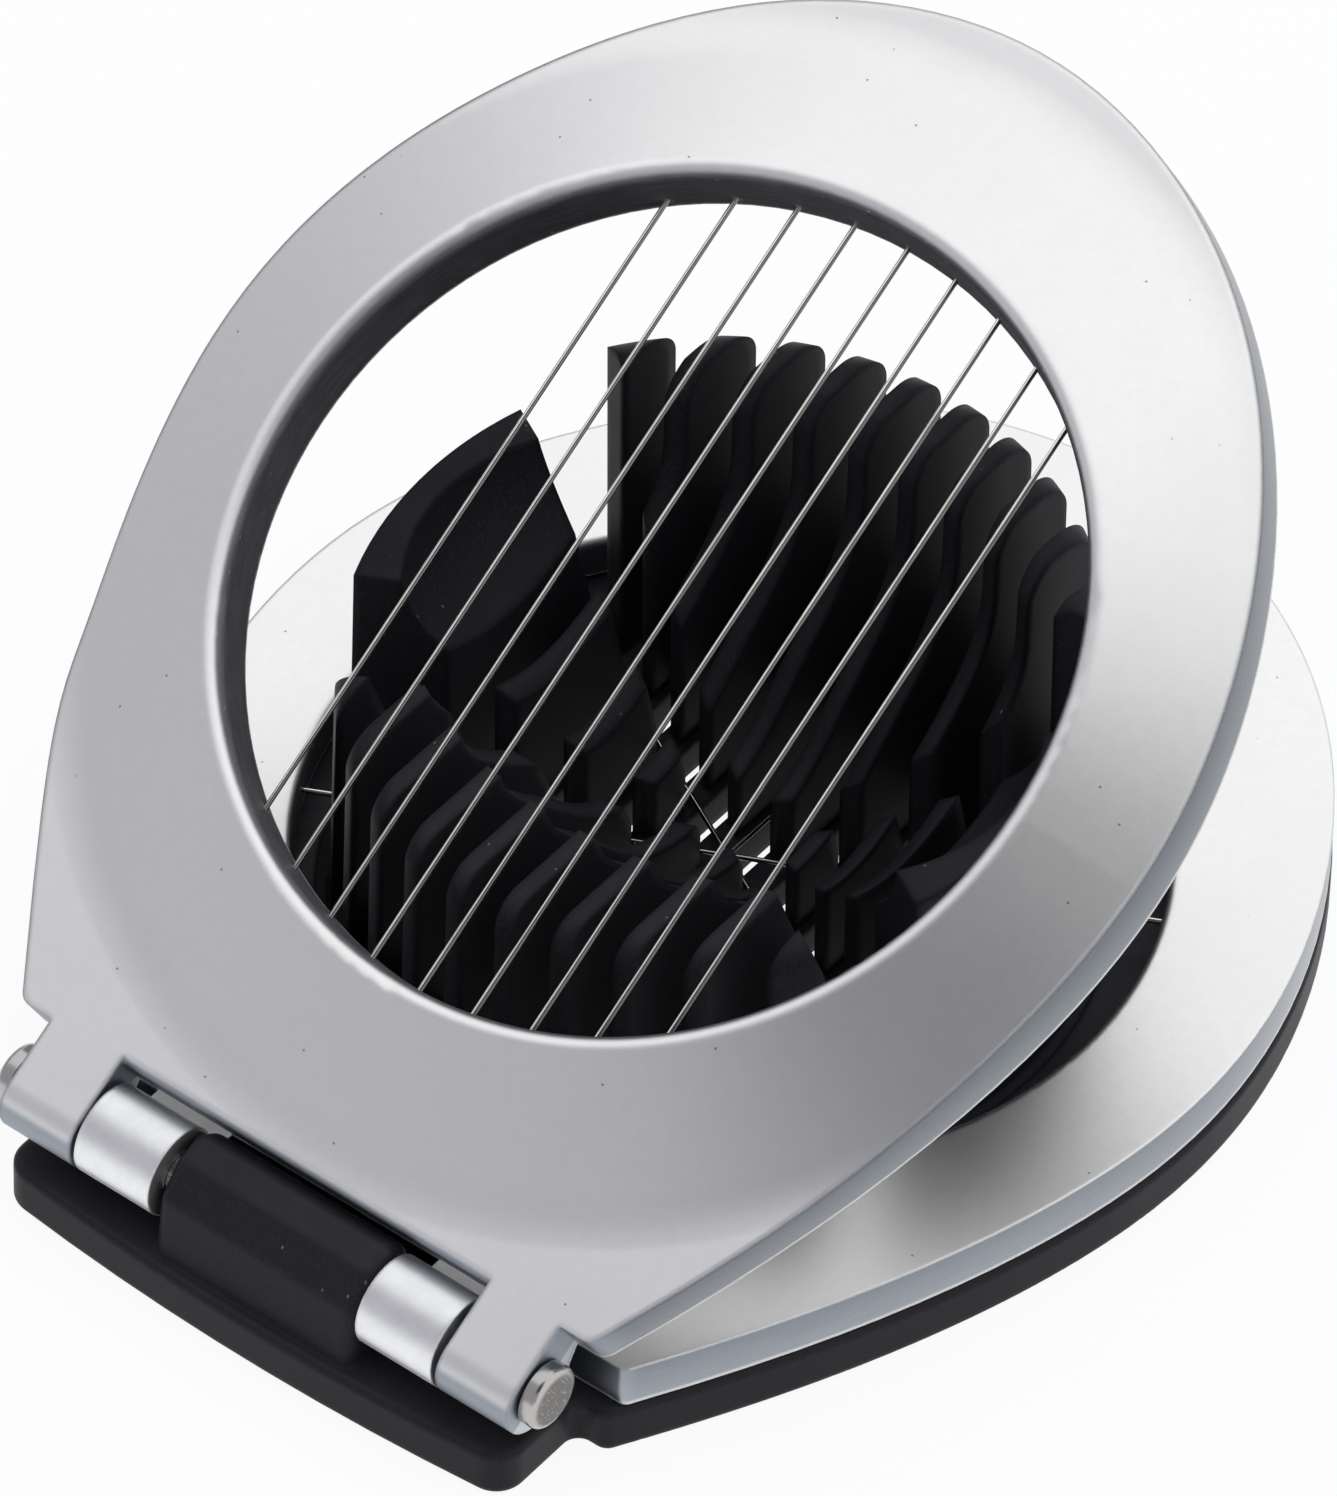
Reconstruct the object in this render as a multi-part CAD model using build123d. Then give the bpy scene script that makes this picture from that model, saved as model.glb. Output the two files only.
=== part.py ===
from build123d import *
import math
import os

# Egg slicer: two cutting frames on one hinge pin, over a ribbed cradle that stands in a foot.
# The upper frame has parallel wires for slices, the lower one has crossed wires for wedges.
# The solids are drawn about the hinge axis, with +X along the pin, +Y from the hinge to the tip
# and +Z up. They are then moved so that the origin lies on the table, under the middle of the foot.
# All sizes are in millimetres.

# Egg-shaped outline of the upper frame, at distances from the hinge axis
# Its shape is given by shares of the widest half width
outline_tip_y = 124.3
outline_nose_y = 116.3
outline_shoulder_y = 97.6
outline_widest_y = 66.7
outline_flank_y = 38.9
outline_widest_half = 52.4
outline_nose_share = 0.481
outline_shoulder_share = 0.817
outline_flank_share = 0.910
outline_root_margin = 0.2
outline_root_lean = 0.59
outline_inset_steps = 24

# Round hole through both frames
hole_y = 63.7
hole_radius = 40.0
hole_draft = 0.7

# Wires and the crimped sleeves on their ends
wire_diameter = 0.5
wire_bore_clearance = 0.03
wire_tail = 0.4
slicing_wire_count = 9
slicing_wire_pitch = 5.6
wedge_wire_angle = 27.5
wedge_wire_spacing = 0.02
sleeve_radius = 0.45
sleeve_length = 2.2
sleeve_seat_gap = 0.05

# Hinge
barrel_radius = 4.4
pin_radius = 2.0
pin_running_clearance = 0.06
pin_press_clearance = 0.01
pin_head_radius = 3.15
pin_head_thickness = 1.6
pin_head_round = 0.7
block_half_width = 11.3
knuckle_gap = 0.5
knuckle_width = 8.4
lug_gap = 0.6
lug_width = 8.0
side_clearance = 0.3
swing_clearance = 1.0

# Upper frame, a cast shell with a cone that rises to the hole
slicing_bottom_z = -0.95
slicing_plate_z = 3.6
slicing_rim_z = 9.2
slicing_cone_radius = 55.5
slicing_cone_blend = 14.0
slicing_lip_round = 1.3
slicing_hole_wall_depth = 6.2
slicing_wire_height = 1.0
slicing_skin = 1.8
slicing_side_wall = 2.5
slicing_hole_wall = 2.3
slicing_corner_round = 1.6
slicing_cutout_bevel = 0.6
slicing_lug_round = 3.0
slicing_rest_angle = 30.4

# Lower frame, a flat cast shell
closing_gap = 0.3
wedge_inset = 0.6
wedge_setback = 2.0
wedge_height = 4.5
wedge_skin = 1.0
wedge_side_wall = 2.5
wedge_hole_wall = 2.2
wedge_hole_inset = 0.5
wedge_lip_round = 0.9
wedge_hole_wall_relief = 0.35
wedge_corner_round = 1.0
wedge_sleeve_gap = 0.05

# Foot
foot_gap = 0.4
foot_height = 5.15
foot_inset = 0.5
foot_plate = 2.3
foot_wall = 2.4
foot_shoulder_y = 5.8
foot_tongue_margin = -0.2
foot_tongue_front = 5.95
foot_tongue_bow = 1.6
foot_tongue_round = 3.0
foot_notch_round = 1.5
foot_edge_round = 0.8
foot_seat_wall = 2.4
foot_seat_ledge = 2.0
foot_seat_depth = 2.8

# Hinge block on the foot, as points of its section from the hinge axis
block_front_y = -4.6
block_front_z = 0.3
block_crease_y = -1.2
block_crease_z = 3.3
block_top_y = 1.8
block_top_z = 4.3
block_rear_y = 4.2
block_rear_z = 2.6
block_lean = 0.9
block_round = 1.6
block_crease_round = 1.0
block_end_round = 1.3

# Cradle, a drum with ribs, set back towards the hinge so that the frames swing clear of it
cradle_setback = 2.4
cradle_radius = 34.7
cradle_draft = 0.6
cradle_step = 0.3
cradle_flange = 1.2
cradle_flange_clearance = 0.05
cradle_far_top_z = 33.1
cradle_near_top_z = 21.4
cradle_side_top_z = 25.0
cradle_side_slope = 5.0
cradle_far_round = 4.2
cradle_near_round = 3.0
rib_thickness = 1.8
end_rib_thickness = 3.2
short_rib_inner_x = 5.0
drain_width = 2.7
drain_radius = 27.0

# Bowl of the cradle, a turned hollow stretched along X for an egg on its side
bowl_stretch = 1.38
bowl_radius = 23.0
bowl_floor_z = 1.5
bowl_mid_radius = 15.0
bowl_mid_z = 10.9
bowl_wall_z = 25.5
bowl_flare = 4.2
bowl_flare_overrun = 0.5

# Slots of the cradle for the crossed wires, which lean back because the wires rise on an arc
star_slot_far = 1.95
star_slot_far_lean = 0.024
star_slot_near = 1.0
star_slot_tip_lean = 0.22
star_slot_hinge_lean = 0.345
star_slot_clearance = 1.1

# Length by which a cut runs past a face
overcut = 1.0

# Sizes that follow from the ones above
wire_radius = wire_diameter / 2
wedge_wire_angles = (90.0, wedge_wire_angle, -wedge_wire_angle)
cutout_y = barrel_radius + swing_clearance
knuckle_inner_x = block_half_width + knuckle_gap
knuckle_outer_x = knuckle_inner_x + knuckle_width
lug_inner_x = knuckle_outer_x + lug_gap
lug_outer_x = lug_inner_x + lug_width
head_inner_x = lug_outer_x + side_clearance
hole_wall_bottom_z = slicing_rim_z - slicing_hole_wall_depth
slicing_wire_z = hole_wall_bottom_z + slicing_wire_height
slicing_wall_radius = hole_radius + slicing_hole_wall
wedge_top_z = slicing_bottom_z - closing_gap
wedge_bottom_z = wedge_top_z - wedge_height
wedge_front_y = cutout_y + wedge_setback
wedge_hole_radius = hole_radius - wedge_hole_inset
wedge_wall_radius = wedge_hole_radius + wedge_hole_wall
wedge_wire_step = wire_diameter + wedge_wire_spacing
wedge_wire_z = wedge_top_z - wedge_skin - wedge_sleeve_gap - sleeve_radius
lowest_wire_z = wedge_wire_z - wedge_wire_step * (len(wedge_wire_angles) - 1)
slot_floor_z = lowest_wire_z - wire_radius - star_slot_clearance
foot_top_z = wedge_bottom_z - foot_gap
table_z = foot_top_z - foot_height
cradle_y = hole_y - cradle_setback
cradle_seat_z = foot_top_z - foot_seat_depth
flange_radius = cradle_radius + cradle_flange
seat_radius = flange_radius + cradle_flange_clearance
foot_tip_y = outline_tip_y - foot_inset
origin_y = (foot_tip_y - foot_tongue_front) / 2
rib_count = slicing_wire_count + 1
outer_rib_x = (rib_count - 1) / 2 * slicing_wire_pitch
lobe_inner_x = outer_rib_x - rib_thickness / 2
reach = 2 * outline_tip_y


def egg_face(inset, front_y):
    """Egg-shaped face, drawn in from the outline by an inset and cut off square at the hinge end."""
    half = [
        (lug_outer_x + outline_root_margin, 0),
        (outline_widest_half * outline_flank_share, outline_flank_y),
        (outline_widest_half, outline_widest_y),
        (outline_widest_half * outline_shoulder_share, outline_shoulder_y),
        (outline_widest_half * outline_nose_share, outline_nose_y),
    ]
    mirrored = [(-x, y) for x, y in reversed(half)]
    ends = [(outline_root_lean, 1), (outline_root_lean, -1)]
    edge = Spline(*half, (0, outline_tip_y), *mirrored, tangents=ends)
    if inset > 0:
        inner = []
        for step in range(outline_inset_steps + 1):
            place = edge @ (step / outline_inset_steps)
            heading = edge % (step / outline_inset_steps)
            inner.append((place.X - inset * heading.Y, place.Y + inset * heading.X))
        edge = Spline(*inner, tangents=ends)
    face = make_face(edge + Line(edge @ 1, edge @ 0))
    return face - Pos(0, front_y - reach / 2) * Rectangle(2 * reach, reach)


def prism(face, bottom_z, top_z):
    """Upright solid on a face, between two heights."""
    return extrude(Pos(0, 0, bottom_z) * face, amount=top_z - bottom_z)


def turned(corners, rounds, centre_y):
    """Solid turned about the upright axis at centre_y, from corners as (radius, height)."""
    section = make_face(FilletPolyline(*corners, radius=rounds, close=True))
    return Pos(0, centre_y, 0) * revolve(Plane.XZ * section, axis=Axis.Z)


def across(section, start_x, width):
    """Solid along the pin, from a section in Y and Z."""
    return extrude(Plane.YZ.offset(start_x) * section, amount=width)


def pin_bore(clearance):
    """Straight bore along the hinge axis."""
    return Rot(0, 90, 0) * Cylinder(pin_radius + clearance, 4 * lug_outer_x)


def wire_place(angle, height):
    """Place at the middle of the hole, with Z along a wire that runs at an angle from +X."""
    return Pos(0, hole_y, height) * Rot(0, 0, angle) * Rot(0, 90, 0)


def slicing_wire_x(index):
    """Side place of one of the parallel wires."""
    return (index - (slicing_wire_count - 1) / 2) * slicing_wire_pitch


def slicing_sleeve_start(x):
    """Distance along a parallel wire from its middle to the seat of its sleeve."""
    edge = max(abs(x) - sleeve_radius, 0)
    return math.sqrt(slicing_wall_radius**2 - edge**2) + sleeve_seat_gap


def slicing_wire(index):
    """One parallel wire, from sleeve to sleeve."""
    x = slicing_wire_x(index)
    half = slicing_sleeve_start(x) + sleeve_length + wire_tail
    return Pos(x, hole_y, slicing_wire_z) * Rot(90, 0, 0) * Cylinder(wire_radius, 2 * half)


def wedge_wire_height(index):
    """Height of one of the crossed wires, which lie on top of one another."""
    return wedge_wire_z - index * wedge_wire_step


def wedge_wire(index):
    """One crossed wire, from sleeve to sleeve."""
    half = wedge_wall_radius + sleeve_seat_gap + sleeve_length + wire_tail
    place = wire_place(wedge_wire_angles[index], wedge_wire_height(index))
    return place * Cylinder(wire_radius, 2 * half)


def sleeve():
    """Crimped sleeve that starts at the origin and runs along +Z."""
    tube = Circle(sleeve_radius) - Circle(wire_radius + wire_bore_clearance)
    return extrude(tube, amount=sleeve_length)


def slicing_sleeves(side):
    """Sleeves on one end of all parallel wires: side is -1 at the hinge and 1 at the tip."""
    sleeves = []
    for index in range(slicing_wire_count):
        x = slicing_wire_x(index)
        seat = Pos(x, hole_y + side * slicing_sleeve_start(x), slicing_wire_z)
        sleeves.append(seat * Rot(-90 * side, 0, 0) * sleeve())
    return Compound(sleeves)


def wedge_sleeves():
    """Sleeves on both ends of the crossed wires."""
    sleeves = []
    for index, angle in enumerate(wedge_wire_angles):
        for end_angle in (angle, angle + 180):
            place = wire_place(end_angle, wedge_wire_height(index))
            sleeves.append(place * Pos(0, 0, wedge_wall_radius + sleeve_seat_gap) * sleeve())
    return Compound(sleeves)


def slicing_frame():
    """Upper frame: a shell with a cone up to the hole, two lugs on the pin and bores for the wires."""
    face = egg_face(0, cutout_y)
    face = fillet(face.vertices().group_by(Axis.Y)[0], slicing_corner_round)
    top = [
        (hole_radius - hole_draft, slicing_bottom_z),
        (hole_radius - hole_draft, hole_wall_bottom_z),
        (hole_radius, slicing_rim_z),
        (slicing_cone_radius, slicing_plate_z),
        (reach, slicing_plate_z),
        (reach, slicing_bottom_z),
    ]
    top_rounds = [0, 0, slicing_lip_round, slicing_cone_blend, 0, 0]
    body = prism(face, slicing_bottom_z, slicing_rim_z) & turned(top, top_rounds, hole_y)

    cone_slope = (slicing_rim_z - slicing_plate_z) / (slicing_cone_radius - hole_radius)
    cone_drop = slicing_skin * math.hypot(1, cone_slope)
    under_wall_z = slicing_rim_z - slicing_hole_wall * cone_slope - cone_drop
    below_z = slicing_bottom_z - overcut
    hollow = [
        (hole_radius - 2 * hole_draft, below_z),
        (hole_radius - 2 * hole_draft, hole_wall_bottom_z),
        (slicing_wall_radius, hole_wall_bottom_z),
        (slicing_wall_radius, under_wall_z),
        (slicing_cone_radius, slicing_plate_z - cone_drop),
        (reach, slicing_plate_z - cone_drop),
        (reach, below_z),
    ]
    hollow_rounds = [0, 0, 0, 0, slicing_cone_blend, 0, 0]
    inner = egg_face(slicing_side_wall, cutout_y + slicing_side_wall)
    cavity = prism(inner, below_z, slicing_rim_z) & turned(hollow, hollow_rounds, hole_y)
    body -= cavity
    bevel = make_face(Polyline(
        (cutout_y, slicing_plate_z - slicing_cutout_bevel),
        (cutout_y + slicing_cutout_bevel, slicing_plate_z),
        (cutout_y, slicing_plate_z),
        close=True,
    ))
    body -= across(bevel, -lug_inner_x, 2 * lug_inner_x)

    root_y = cutout_y + slicing_side_wall / 2
    web = make_face(Polyline(
        (0, slicing_plate_z),
        (root_y, slicing_plate_z),
        (root_y, slicing_bottom_z),
        (0, -barrel_radius),
        close=True,
    ))
    lug = Circle(barrel_radius) + web - Pos(0, slicing_plate_z + reach / 2) * Rectangle(reach, reach)
    lug = fillet(lug.vertices().sort_by(Axis.X)[0], slicing_lug_round)
    for start_x in (lug_inner_x, -lug_outer_x):
        body += across(lug, start_x, lug_width)
    body -= pin_bore(pin_running_clearance)

    bore_radius = wire_radius + wire_bore_clearance
    for index in range(slicing_wire_count):
        place = Pos(slicing_wire_x(index), hole_y, slicing_wire_z) * Rot(90, 0, 0)
        body -= place * Cylinder(bore_radius, 2 * slicing_wall_radius)
    return body


def wedge_frame():
    """Lower frame: a flat shell round the hole, two knuckles on the pin and bores for the wires."""
    face = egg_face(wedge_inset, wedge_front_y)
    face = fillet(face.vertices().group_by(Axis.Y)[0], wedge_corner_round)
    ring_bottom_z = wedge_bottom_z + wedge_hole_wall_relief
    top = [
        (wedge_hole_radius, ring_bottom_z),
        (wedge_hole_radius, wedge_top_z),
        (reach, wedge_top_z),
        (reach, wedge_bottom_z),
        (wedge_wall_radius, wedge_bottom_z),
        (wedge_wall_radius, ring_bottom_z),
    ]
    top_rounds = [0, wedge_lip_round, 0, 0, 0, 0]
    body = prism(face, wedge_bottom_z, wedge_top_z) & turned(top, top_rounds, hole_y)

    inner = egg_face(wedge_inset + wedge_side_wall, wedge_front_y + wedge_side_wall)
    cavity = prism(inner, wedge_bottom_z - overcut, wedge_top_z - wedge_skin)
    cavity -= Pos(0, hole_y, wedge_top_z) * Cylinder(wedge_wall_radius, 4 * wedge_height)
    body -= cavity

    root_y = wedge_front_y + wedge_side_wall / 2
    arm = make_face(Polyline(
        (0, 0),
        (barrel_radius, wedge_top_z),
        (root_y, wedge_top_z),
        (root_y, wedge_bottom_z),
        (0, -barrel_radius),
        close=True,
    ))
    knuckle = Circle(barrel_radius) + arm
    for start_x in (knuckle_inner_x, -knuckle_outer_x):
        body += across(knuckle, start_x, knuckle_width)
    body -= pin_bore(pin_running_clearance)

    bore_radius = wire_radius + wire_bore_clearance
    for index, angle in enumerate(wedge_wire_angles):
        place = wire_place(angle, wedge_wire_height(index))
        body -= place * Cylinder(bore_radius, 2 * wedge_wall_radius)
    return body


def foot_face(inset):
    """Foot seen from above: the egg shape with a tongue under the hinge, drawn in by an inset."""
    half = lug_outer_x + foot_tongue_margin - inset
    front_y = inset - foot_tongue_front
    shoulder_y = foot_shoulder_y + inset
    front = ThreePointArc((-half, front_y + foot_tongue_bow), (0, front_y), (half, front_y + foot_tongue_bow))
    back_y = shoulder_y + foot_tongue_round
    back = Polyline(front @ 1, (half, back_y), (-half, back_y), front @ 0)
    tongue = make_face(front + back)
    tongue = fillet(tongue.vertices().group_by(Axis.Y)[0], foot_tongue_round)
    face = egg_face(foot_inset + inset, shoulder_y) + tongue
    notches = [v for v in face.vertices() if abs(v.Y - shoulder_y) < foot_notch_round]
    return fillet(notches, foot_notch_round)


def base_foot():
    """Foot: a shell open below, with a round seat for the cradle and the hinge block at the front."""
    body = prism(foot_face(0), table_z, foot_top_z)
    body = fillet(body.edges().group_by(Axis.Z)[0], foot_edge_round)
    body = fillet(body.edges().group_by(Axis.Z)[-1], foot_edge_round)
    body -= prism(foot_face(foot_wall), table_z - overcut, foot_top_z - foot_plate)

    seat_outer = seat_radius + foot_seat_wall
    ledge_inner = seat_radius - foot_seat_ledge
    seat_bottom_z = table_z + foot_edge_round
    seat_wall = Pos(0, cradle_y) * (Circle(seat_outer) - Circle(ledge_inner))
    body += prism(seat_wall, seat_bottom_z, foot_top_z)
    body -= prism(Pos(0, cradle_y) * Circle(ledge_inner), table_z - overcut, foot_top_z + overcut)
    body -= prism(Pos(0, cradle_y) * Circle(seat_radius), cradle_seat_z, foot_top_z + overcut)

    root_z = foot_top_z - foot_plate / 2
    corners = [
        (block_front_y, root_z),
        (block_front_y + block_lean, block_front_z),
        (block_crease_y, block_crease_z),
        (block_top_y, block_top_z),
        (block_rear_y, block_rear_z),
        (block_rear_y, root_z),
    ]
    rounds = [0, block_round, block_crease_round, block_round, block_round, 0]
    section = make_face(FilletPolyline(*corners, radius=rounds, close=True))
    block = across(section, -block_half_width, 2 * block_half_width)
    body += fillet(block.faces().filter_by(Axis.X).edges(), block_end_round)
    return body - pin_bore(pin_press_clearance)


def bowl():
    """Hollow of the cradle: a turned form that flares at the top, stretched along X."""
    flare_top_z = cradle_far_top_z + bowl_flare_overrun
    flare_z = flare_top_z - bowl_flare
    above_z = flare_top_z + bowl_flare
    curve = Spline(
        (0, bowl_floor_z),
        (bowl_mid_radius, bowl_mid_z),
        (bowl_radius, bowl_wall_z),
        tangents=((1, 0), (0, 1)),
    )
    wall = Line(curve @ 1, (bowl_radius, flare_z))
    flare = RadiusArc(wall @ 1, (bowl_radius + bowl_flare, flare_top_z), bowl_flare)
    rest = Polyline(
        flare @ 1,
        (bowl_radius + bowl_flare, above_z),
        (0, above_z),
        (0, bowl_floor_z),
    )
    form = revolve(Plane.XZ * make_face(curve + wall + flare + rest), axis=Axis.Z)
    return Pos(0, cradle_y, 0) * scale(form, by=(bowl_stretch, 1, 1))


def star_slot(angle, near_lean):
    """Cutter along half of a crossed wire, from the hole's middle, which leans more on its near side."""
    top_z = cradle_far_top_z + bowl_flare
    profile = make_face(Polyline(
        (star_slot_far - star_slot_far_lean * slot_floor_z, slot_floor_z),
        (star_slot_far - star_slot_far_lean * top_z, top_z),
        (-star_slot_near - near_lean * top_z, top_z),
        (-star_slot_near, 0),
        (-star_slot_near, slot_floor_z),
        close=True,
    ))
    turn = math.radians(angle)
    along = (math.cos(turn), math.sin(turn), 0)
    over = (-math.sin(turn), math.cos(turn), 0)
    section = Plane(origin=(0, hole_y, 0), x_dir=over, z_dir=along) * profile
    return extrude(section, amount=2 * cradle_radius)


def star_slots():
    """Cutters for the slots on both sides, towards the tip and towards the hinge."""
    right = [
        star_slot(wedge_wire_angle, star_slot_tip_lean),
        star_slot(-wedge_wire_angle, star_slot_hinge_lean),
    ]
    return right + [mirror(cutter, Plane.YZ) for cutter in right]


def drum(top_z, corner_round):
    """Turned outer form of the cradle, rooted in its floor, up to a height."""
    root_z = (slot_floor_z + cradle_seat_z) / 2
    top_radius = cradle_radius - cradle_draft * (top_z - root_z) / (cradle_far_top_z - root_z)
    corners = [(0, root_z), (cradle_radius, root_z), (top_radius, top_z), (0, top_z)]
    return turned(corners, [0, 0, corner_round, 0], cradle_y)


def rib_slabs(inner_x, end_thickness):
    """Slabs between the parallel wires, outside inner_x: an end thickness of 0 leaves out the end ones."""
    depth = 4 * cradle_radius
    slabs = []
    for index in range(rib_count):
        x = (index - (rib_count - 1) / 2) * slicing_wire_pitch
        is_end = index in (0, rib_count - 1)
        thickness = end_thickness if is_end else rib_thickness
        x += math.copysign((thickness - rib_thickness) / 2, x)
        if thickness > 0 and abs(x) > inner_x:
            slabs.append(Pos(x, hole_y, 0) * Box(thickness, depth, depth))
    return slabs


def cradle_sector(directions):
    """Upright prism over the part of the cradle between two star slots, as points round the hole."""
    return Pos(0, hole_y) * prism(make_face(Polyline((0, 0), *directions, close=True)), -reach, reach)


def egg_cradle():
    """Cradle: a floor with drain slits, far and near ribs, and a lobe with short ribs on each side."""
    wide = 2 * cradle_radius
    rise = wide * math.tan(math.radians(wedge_wire_angle))
    cutters = star_slots() + [bowl()]

    far = drum(cradle_far_top_z, cradle_far_round)
    far &= cradle_sector([(wide, rise), (wide, 2 * wide), (-wide, 2 * wide), (-wide, rise)])
    near = drum(cradle_near_top_z, cradle_near_round)
    near &= cradle_sector([(wide, -rise), (wide, -2 * wide), (-wide, -2 * wide), (-wide, -rise)])
    side_drum = drum(cradle_far_top_z, cradle_far_round)
    slope_place = Pos(0, cradle_y, cradle_side_top_z) * Rot(cradle_side_slope, 0, 0)
    side_drum -= slope_place * Pos(0, 0, wide) * Box(2 * wide, 2 * wide, 2 * wide)

    pieces = []
    for block in (far, near):
        for cutter in cutters:
            block -= cutter
        pieces += (block & Compound(rib_slabs(0, end_rib_thickness))).solids()
    for side in (-1, 1):
        block = side_drum & cradle_sector([(side * wide, rise), (side * wide, -rise)])
        for cutter in cutters:
            block -= cutter
        lobe_slab = Pos(side * (lobe_inner_x + wide / 2), hole_y, 0) * Box(wide, 2 * wide, 2 * wide)
        pieces += (block & Compound(rib_slabs(short_rib_inner_x, 0) + [lobe_slab])).solids()

    floor = prism(Pos(0, cradle_y) * Circle(cradle_radius + cradle_step), cradle_seat_z, slot_floor_z)
    floor += prism(Pos(0, cradle_y) * Circle(flange_radius), cradle_seat_z, foot_top_z)
    for index in range(slicing_wire_count):
        x = slicing_wire_x(index)
        half = math.sqrt(max(drain_radius**2 - x**2, drain_width**2))
        slit = Pos(x, cradle_y) * Rot(0, 0, 90) * SlotOverall(2 * half, drain_width)
        floor -= prism(slit, cradle_seat_z - overcut, slot_floor_z + overcut)
    return floor + pieces


def hinge_pin():
    """Steel pin with a rounded head at each end."""
    pin = Cylinder(pin_radius, 2 * head_inner_x)
    head = Cylinder(pin_head_radius, pin_head_thickness, align=(Align.CENTER, Align.CENTER, Align.MIN))
    head = fillet(head.edges().group_by(Axis.Z)[-1], pin_head_round)
    pin += Pos(0, 0, head_inner_x) * head
    pin += Rot(180, 0, 0) * Pos(0, 0, head_inner_x) * head
    return Rot(0, 90, 0) * pin


def write_parts():
    """Writes each piece to its own file, in its place in the standing, half-open slicer."""
    standing = Pos(0, -origin_y, -table_z)
    raised = standing * Rot(slicing_rest_angle, 0, 0)
    pieces = {
        "base_foot": standing * base_foot(),
        "egg_cradle": standing * egg_cradle(),
        "hinge_pin": standing * hinge_pin(),
        "wedge_frame": standing * wedge_frame(),
        "wedge_sleeves": standing * wedge_sleeves(),
        "slicing_frame": raised * slicing_frame(),
        "slicing_sleeves_hinge_side": raised * slicing_sleeves(-1),
        "slicing_sleeves_tip_side": raised * slicing_sleeves(1),
    }
    for index in range(len(wedge_wire_angles)):
        pieces[f"wedge_wire_{index + 1}"] = standing * wedge_wire(index)
    for index in range(slicing_wire_count):
        pieces[f"slicing_wire_{index + 1}"] = raised * slicing_wire(index)

    os.makedirs("parts", exist_ok=True)
    for name, piece in pieces.items():
        export_step(piece, f"parts/{name}.step")


write_parts()
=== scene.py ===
"""Looks of an egg slicer: its finishes, a plain studio and the photograph's viewpoint."""

import logging
import math
from dataclasses import dataclass, field
from enum import Enum
from typing import Any, Optional, Union

import bpy
from mathutils import Matrix, Vector

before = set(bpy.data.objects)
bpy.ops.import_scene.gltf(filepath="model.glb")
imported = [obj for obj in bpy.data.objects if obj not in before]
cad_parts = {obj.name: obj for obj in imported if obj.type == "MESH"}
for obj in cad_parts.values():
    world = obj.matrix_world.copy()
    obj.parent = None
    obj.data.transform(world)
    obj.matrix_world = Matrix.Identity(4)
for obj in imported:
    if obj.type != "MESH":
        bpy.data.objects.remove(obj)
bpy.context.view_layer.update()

LOG = logging.getLogger("egg_slicer")
MILLIMETRE = 0.001
IMAGE_HEIGHT = 1496
HINGE_Y = -58.925
HINGE_Z = 11.3
HOLE_FROM_HINGE = 63.7
WHITE = (1.0, 1.0, 1.0, 1.0)
EDGE_SAMPLES = 6
MIX_FIRST, MIX_SECOND, MIX_RESULT = 6, 7, 2

Colour = tuple[float, float, float]
Corner = tuple[float, float, float]
Band = tuple[float, float]
Number = Union[float, "Value"]


class Shape(Enum):
    """How a soft step rises between its two ends."""

    STRAIGHT = "LINEAR"
    SMOOTH = "SMOOTHSTEP"


@dataclass(frozen=True)
class Value:
    """An output socket whose arithmetic adds Math nodes to its graph."""

    graph: "Graph"
    socket: Optional[bpy.types.NodeSocket]

    def __add__(self, other: Number) -> "Value":
        """Sum."""
        return self.graph.math("ADD", self, other)

    def __radd__(self, other: Number) -> "Value":
        """Sum with a number on the left."""
        return self.graph.math("ADD", other, self)

    def __sub__(self, other: Number) -> "Value":
        """Difference."""
        return self.graph.math("SUBTRACT", self, other)

    def __rsub__(self, other: Number) -> "Value":
        """Difference from a number on the left."""
        return self.graph.math("SUBTRACT", other, self)

    def __mul__(self, other: Number) -> "Value":
        """Product."""
        return self.graph.math("MULTIPLY", self, other)

    def __rmul__(self, other: Number) -> "Value":
        """Product with a number on the left."""
        return self.graph.math("MULTIPLY", other, self)

    def __truediv__(self, other: Number) -> "Value":
        """Quotient."""
        return self.graph.math("DIVIDE", self, other)

    def __rtruediv__(self, other: Number) -> "Value":
        """Quotient of a number on the left."""
        return self.graph.math("DIVIDE", other, self)

    def __pow__(self, other: Number) -> "Value":
        """Power."""
        return self.graph.math("POWER", self, other)

    def __rpow__(self, other: Number) -> "Value":
        """Power of a number on the left."""
        return self.graph.math("POWER", other, self)

    def __abs__(self) -> "Value":
        """Size without sign."""
        return self.graph.math("ABSOLUTE", self, 0.0)

    def at_least(self, other: Number) -> "Value":
        """Larger of two values."""
        return self.graph.math("MAXIMUM", self, other)

    def swing(self, amount: float) -> "Value":
        """Noise about its middle, times an amount."""
        return (self - 0.5) * amount

    def towards(self, other: Number, share: "Value") -> "Value":
        """This value moved towards another by a share."""
        return self + (other - self) * share

    def step(self, low: float, high: float, shape: Shape = Shape.SMOOTH) -> "Value":
        """Rise from 0 at low to 1 at high, or fall where high lies below low.

        Args:
            low: value at which the result is 0.
            high: value at which the result is 1.
            shape: how it rises between them.

        Returns:
            A value from 0 to 1.
        """
        ends = (low, high) if low < high else (high, low)
        marks = (0.0, 1.0) if low < high else (1.0, 0.0)
        return self.graph.node(
            "ShaderNodeMapRange",
            {"interpolation_type": shape.value, "clamp": True},
            {
                "Value": self,
                "From Min": ends[0],
                "From Max": ends[1],
                "To Min": marks[0],
                "To Max": marks[1],
            },
        )

    def sibling(self, name: str) -> "Value":
        """Another output of the same node."""
        return Value(self.graph, self.socket.node.outputs[name])


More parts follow.
